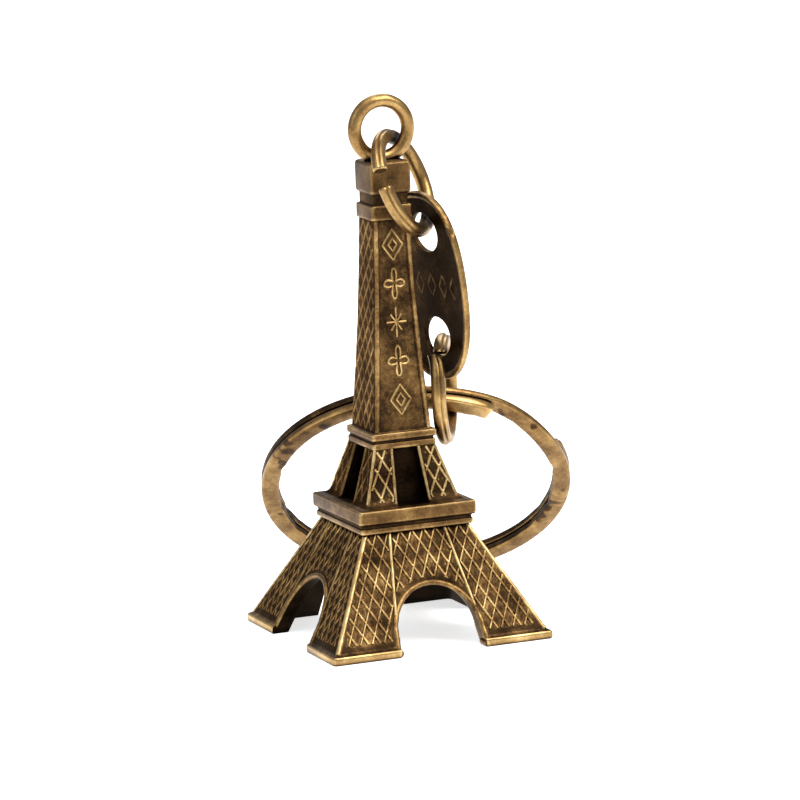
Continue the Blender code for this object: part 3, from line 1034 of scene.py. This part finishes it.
def area_light(name, azimuth, elevation, distance, size, watts, colour=(1, 1, 1)):
    """A soft light turned to the middle of the tower; its distance and size are in metres."""
    light = bpy.data.lights.new(name, "AREA")
    light.shape = "RECTANGLE"
    light.size, light.size_y = size
    light.energy = watts
    light.color = colour
    lamp = bpy.data.objects.new(name, light)
    bpy.context.collection.objects.link(lamp)
    a, e = radians(azimuth), radians(elevation)
    back = Vector((sin(a) * cos(e), -cos(a) * cos(e), sin(e)))
    lamp.location = TOWER_AT + Vector((0, 0, 0.025)) + back * distance
    lamp.rotation_euler = back.to_track_quat("Z", "Y").to_euler()


def make_studio():
    """A white floor that glows, painted light that fills its shadows, an even pale surround and four soft
    lights.
    """
    glowing_floor = Nodes("glowing_white_floor")
    glowing_floor.shader.inputs["Base Color"].default_value = (0.93, 0.93, 0.93, 1)
    glowing_floor.shader.inputs["Roughness"].default_value = 0.9
    # The floor glows: painted light that washes out its shadows and lights the tower from below.
    glowing_floor.shader.inputs["Emission Color"].default_value = (1, 1, 1, 1)
    glowing_floor.shader.inputs["Emission Strength"].default_value = 0.72
    bm = bmesh.new()
    bmesh.ops.create_circle(bm, cap_ends=True, segments=96, radius=3000)
    bmesh.ops.translate(bm, verts=bm.verts, vec=(0, 0, -0.02))
    object_from("floor", bm, [glowing_floor.material])

    world = bpy.data.worlds.new("studio")
    world.use_nodes = True
    world.node_tree.nodes["Background"].inputs["Color"].default_value = (0.98, 0.97, 0.96, 1)
    world.node_tree.nodes["Background"].inputs["Strength"].default_value = 0.50
    bpy.context.scene.world = world

    area_light("key", 40, 50, 0.60, (0.34, 0.34), 3.1, (1.0, 0.96, 0.90))
    area_light("top", -10, 82, 0.60, (0.40, 0.40), 1.2)
    area_light("left", -80, 35, 0.70, (0.30, 0.40), 0.85, (0.78, 0.87, 1.0))
    area_light("rear", 160, 40, 0.70, (0.40, 0.30), 1.6)
    bpy.context.scene.view_settings.view_transform = "Standard"


# ---------------------------------------------------------------- the whole object


def make_tower(wire, soft):
    """Every piece of the casting, on the tower's body."""
    cast = [
        brass("patina_ground", 0.25, patches=0.34, edge=0.24, patina_and_shade=0.40, rim=BROWN_RIM),
        brass("brass_bands", 0.44, patches=0.28, edge=0.50, patina_and_shade=0.46),
        brass("rubbed_foot", 0.78, patches=0.26, edge=0.20, patina_and_shade=0.50),
        brass("brown_panels", 0.37, patches=0.44, edge=0.24, patina_and_shade=0.36),
        # Near-black hollows: patina with painted shade.
        brass("black_patina_and_painted_shade", 0.04, patches=0.16, edge=0.10, patina_and_shade=0.20, rim=BROWN_RIM),
        brass("dark_cap", 0.42, patches=0.26, edge=0.44, patina_and_shade=0.50),
        brass("deep_shade", 0.21, patches=0.34, edge=0.16, patina_and_shade=0.40, rim=DEEP_RIM),
    ]
    ridge = brass("rubbed_ridges", 0.80, patches=0.40, edge=0.08, patina_and_shade=0.60, reach=0.35)
    border = brass("worn_borders", 0.52, patches=0.46, edge=0.06, patina_and_shade=0.50, reach=0.35)
    drawn = brass("rubbed_ornaments", 0.74, patches=0.40, edge=0.06, patina_and_shade=0.60, reach=0.30)
    bars = brass("rubbed_lattice", 0.66, patches=0.60, edge=0.06, patina_and_shade=0.90, reach=0.30)
    tier_bars = brass("bright_lattice", 0.82, patches=0.60, edge=0.06, patina_and_shade=0.80, reach=0.25)
    # Darker copies for the side faces and the shaft's lattice: painted shade.
    shaded_side = brass("painted_shade_side_lattice", 0.60, patches=0.36, edge=0.04, patina_and_shade=0.66, reach=0.4)
    shaded_faint = brass("painted_shade_faint_lattice", 0.46, patches=0.34, edge=0.04, patina_and_shade=0.34, rim=BROWN_RIM)
    tower_pieces = [
        make_tower_body(cast),
        *make_frame_beads(ridge, border, shaded_side, shaded_faint),
        *make_lattice(bars, tier_bars, soft, shaded_side, shaded_faint),
        make_ornaments(drawn),
        make_eye(wire),
    ]
    for piece in tower_pieces:
        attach(piece, "tower")


def make_jump_rings(wire):
    """The open rings above and below the tag."""
    upper = make_jump_ring(
        "upper_ring", "upper_jump_ring", UPPER_CENTRE, UPPER_FACING, UPPER_GAP_AT, UPPER_GAP, wire
    )
    lower = make_jump_ring(
        "lower_ring", "lower_jump_ring", LOWER_CENTRE, LOWER_FACING, LOWER_GAP_AT, LOWER_GAP, wire,
        LOWER_SPLAY, LOWER_SLANT,
    )
    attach(upper, "upper_jump_ring")
    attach(lower, "lower_jump_ring")


def make_tag_pieces(soft):
    """The plate and its stamped marks."""
    plate = brass("tag_plate_brass", 0.22, patches=0.34, edge=0.10, patina_and_shade=0.16, rim=BROWN_RIM)
    lip = brass("tag_lip_brass", 0.60, patches=0.40, edge=0.16, patina_and_shade=0.50)
    for piece in (make_tag(plate, lip), make_tag_marks(soft)):
        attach(piece, "tag")


def make_split_ring():
    """The key ring with its finishes: painted shade on its inner sides and a painted highlight on its
    flared end.
    """
    split = brass(
        "split_ring_wire", 0.55, patches=0.26, edge=0.16, patina_and_shade=0.60, roughness=(0.46, 0.26), stains=0.24
    )
    # Brighter finish for the flared end: a painted highlight.
    end = brass("split_ring_painted_highlight", 0.68, patches=0.26, edge=0.16, patina_and_shade=0.50, roughness=(0.44, 0.26))
    ring_shade = brass("split_ring_painted_shade", 0.26, patches=0.34, edge=0.24, patina_and_shade=0.40)
    key_ring = make_key_ring(split, ring_shade, end)
    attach(key_ring, "key_ring")


def main():
    wire = brass("ring_wire", 0.64, patches=0.26, edge=0.20, patina_and_shade=0.66, roughness=(0.50, 0.28))
    soft = brass("worn_lattice", 0.46, patches=0.50, edge=0.04, patina_and_shade=0.40)
    make_tower(wire, soft)
    make_jump_rings(wire)
    make_tag_pieces(soft)
    make_split_ring()
    make_camera()
    make_studio()


main()
